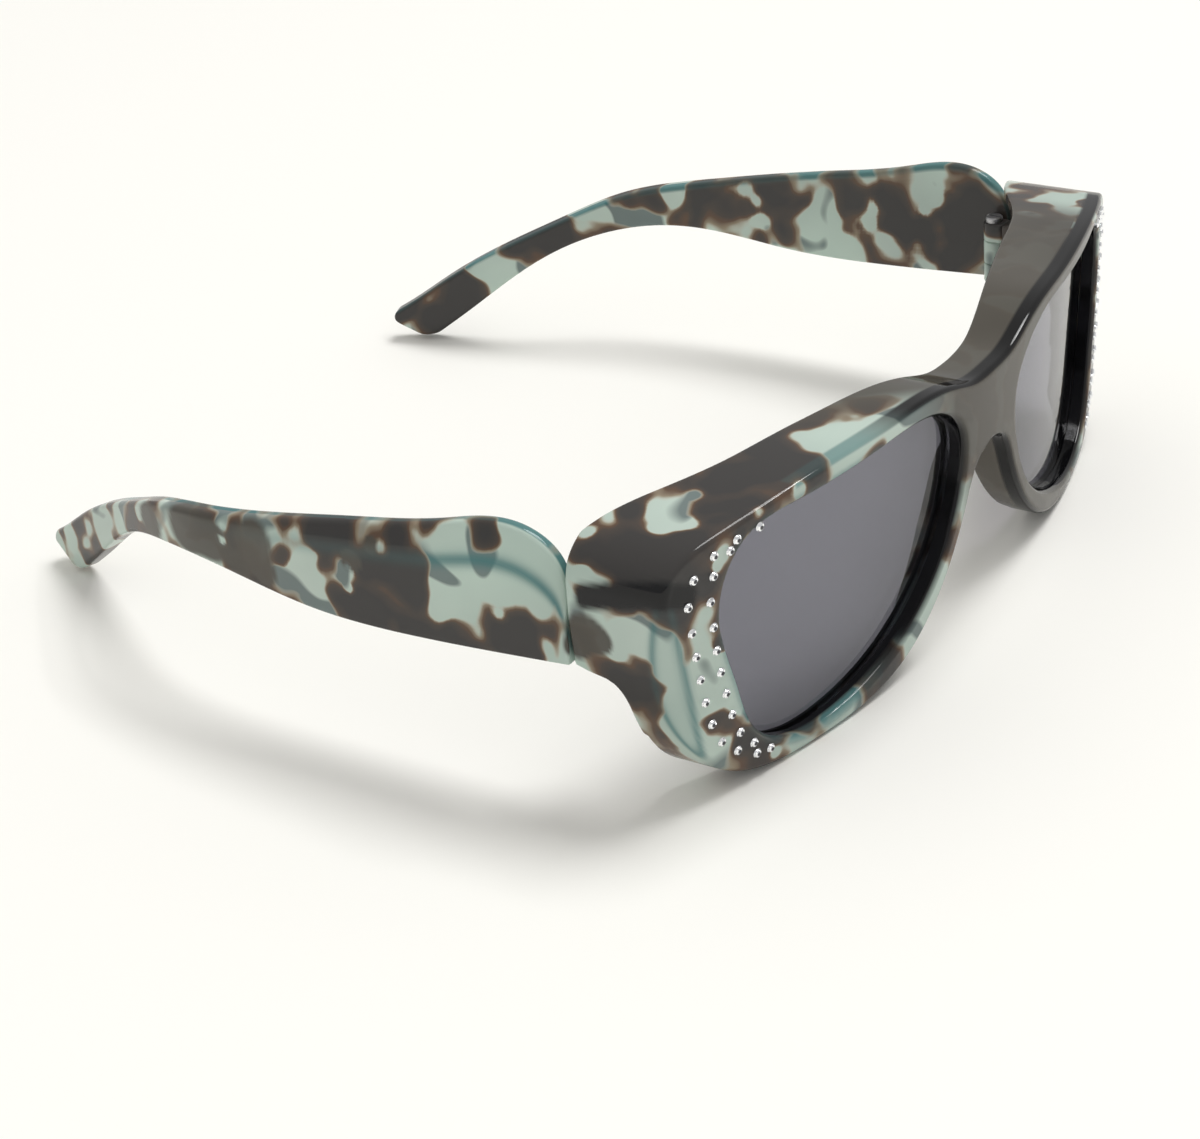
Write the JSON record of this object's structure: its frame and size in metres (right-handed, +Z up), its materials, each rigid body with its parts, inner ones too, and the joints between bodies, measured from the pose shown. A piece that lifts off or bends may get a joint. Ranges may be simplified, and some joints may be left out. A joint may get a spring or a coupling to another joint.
{
  "type": "fitover sunglasses",
  "caption": "Sunglasses with a deep wraparound front, brow shelf and side shields, worn over prescription glasses, with broad folding temples and a jewelled rim.",
  "frame": {"origin": "under the middle of the open glasses, on the surface that the lower rims and temple tips rest on", "axes": "+X to the wearer's left, -Y is where the front looks, +Z up"},
  "size_m": [0.142, 0.144, 0.0421],
  "materials": {
    "frame": "polished, translucent tortoiseshell over mint",
    "lens": "polished smoke tint",
    "screw": "machined",
    "stone": "faceted, foiled back"
  },
  "bodies": {
    "front": {"front_frame": "frame", "lens_left": "lens", "lens_right": "lens", "hinge_screw_left": "screw", "hinge_screw_right": "screw", "rhinestones_left": "stone", "rhinestones_right": "stone"},
    "temple_left": {"temple_left": "frame"},
    "temple_right": {"temple_right": "frame"}
  },
  "joints": [
    {"name": "fold_left", "type": "hinge", "parent": "front", "child": "temple_left", "pos_m": [0.0656, -0.0417, 0.0265], "axis": [0, 0, 1], "range_deg": [0, 85]},
    {"name": "fold_right", "type": "hinge", "parent": "front", "child": "temple_right", "pos_m": [-0.0656, -0.0417, 0.0265], "axis": [0, 0, -1], "range_deg": [0, 75]}
  ]
}
